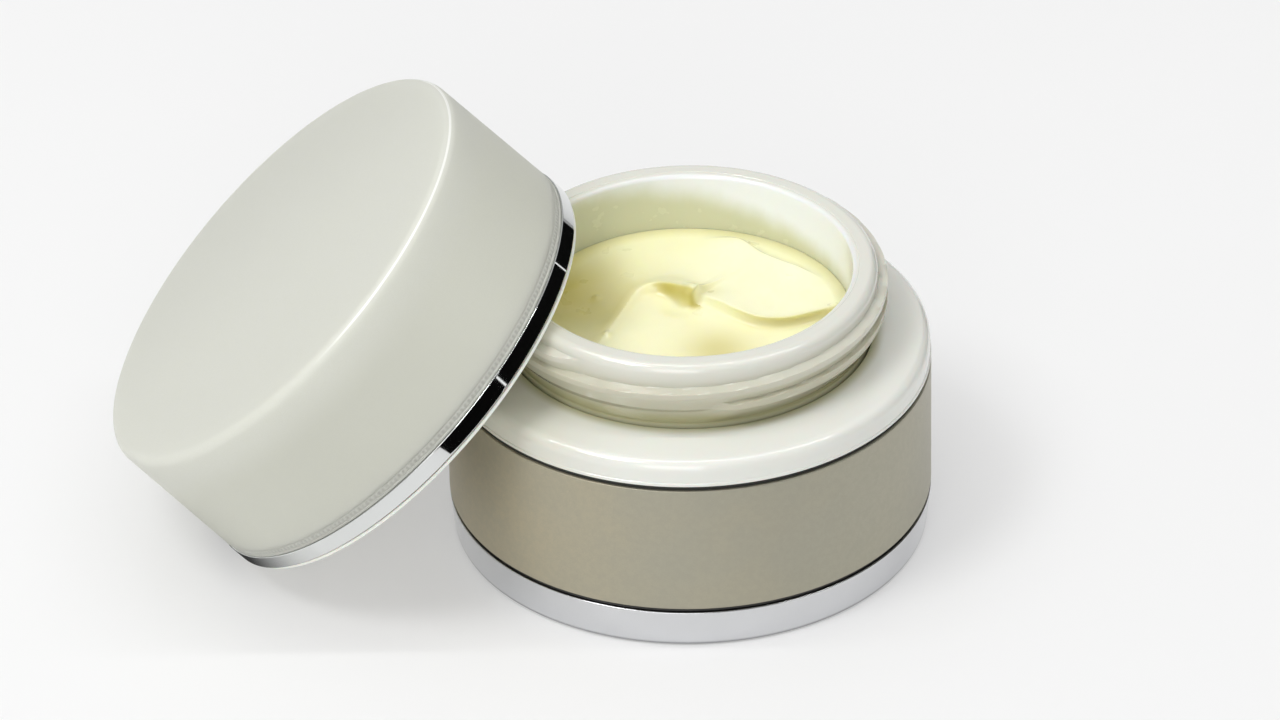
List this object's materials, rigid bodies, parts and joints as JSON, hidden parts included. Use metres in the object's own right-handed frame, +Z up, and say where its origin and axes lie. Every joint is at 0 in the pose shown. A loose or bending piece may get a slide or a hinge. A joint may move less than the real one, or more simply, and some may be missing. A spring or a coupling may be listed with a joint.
{
  "type": "cosmetic cream jar",
  "caption": "Open round double-wall jar with a metal sleeve and cream inside, its screw lid leaning on the rim and free to lift off and turn.",
  "frame": {"origin": "centre of the jar's flat underside, on the jar's axis", "axes": "+Z up along the jar's axis; the lid lies towards -X, in the XZ plane"},
  "size_m": [0.1115, 0.0664, 0.0622],
  "materials": {
    "black_plastic": "moulded satin",
    "plated_base": "bright plated plastic",
    "satin_metal": "fine satin, warm grey",
    "white_plastic": "gloss, milky",
    "cream": "soft wet sheen",
    "frosted_acrylic": "frosted, milky translucent",
    "plated_trim": "mirror plated",
    "pale_plastic": "moulded satin",
    "liner_foam": "fine closed-cell foam"
  },
  "bodies": {
    "jar": {"base_plug": "black_plastic", "base_ring": "plated_base", "carrier": "black_plastic", "metal_sleeve": "satin_metal", "shoulder_collar": "white_plastic", "inner_cup": "white_plastic", "cream": "cream"},
    "liner": {"liner_wad": "liner_foam"},
    "lid": {"overcap": "frosted_acrylic", "trim_ring": "plated_trim", "inner_cap": "pale_plastic"}
  },
  "joints": [
    {"name": "lid_lift", "type": "slide", "parent": "jar", "child": "liner", "axis": [-0.6903, 0, 0.7236], "range_m": [0, 0.06]},
    {"name": "lid_turn", "type": "hinge", "parent": "liner", "child": "lid", "pos_m": [-0.0392, 0, 0.02322], "axis": [-0.6903, 0, 0.7236], "continuous": true}
  ]
}
